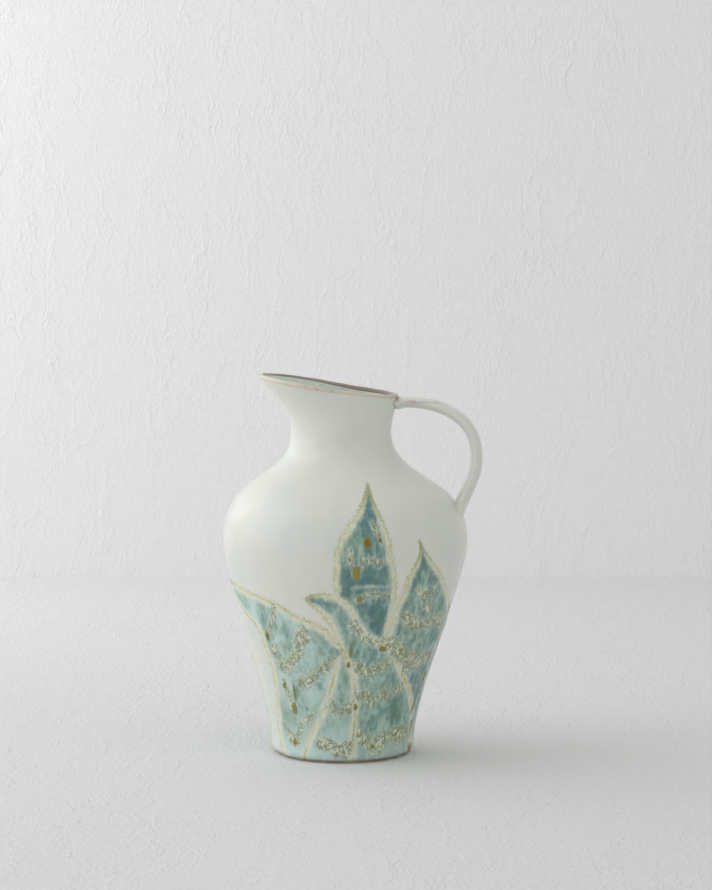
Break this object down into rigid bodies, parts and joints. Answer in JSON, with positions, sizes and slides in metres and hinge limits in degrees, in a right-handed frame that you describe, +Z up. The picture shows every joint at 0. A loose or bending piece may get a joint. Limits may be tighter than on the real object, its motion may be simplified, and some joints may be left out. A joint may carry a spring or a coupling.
{
  "type": "ceramic pitcher",
  "caption": "Tall glazed ceramic pitcher with a swelling body, narrow neck, slanting mouth drawn out to a spout, strap handle and raised teal leaf glaze rising from the foot.",
  "frame": {"origin": "centre of the foot ring's resting face, on the body's axis", "axes": "+Z up along the body's axis, +X toward the handle, -Y the front with the best side of the leaves"},
  "size_m": [0.2215, 0.205, 0.3189],
  "materials": {
    "white_glaze": "gloss white glaze",
    "leaf_glaze": "gloss mottled teal glaze",
    "brown_glaze": "brown glaze worn thin over clay",
    "bare_clay": "unglazed fired clay"
  },
  "bodies": {
    "root": {"foot_ring": "bare_clay", "body": "white_glaze", "neck_and_spout": "white_glaze", "rim_band": "brown_glaze", "handle": "white_glaze", "tall_leaf": "leaf_glaze", "front_leaf": "leaf_glaze", "right_leaf": "leaf_glaze", "left_leaf": "leaf_glaze", "small_leaf": "leaf_glaze", "back_tall_leaf": "leaf_glaze", "back_front_leaf": "leaf_glaze", "back_right_leaf": "leaf_glaze", "back_left_leaf": "leaf_glaze", "back_small_leaf": "leaf_glaze"}
  },
  "joints": []
}
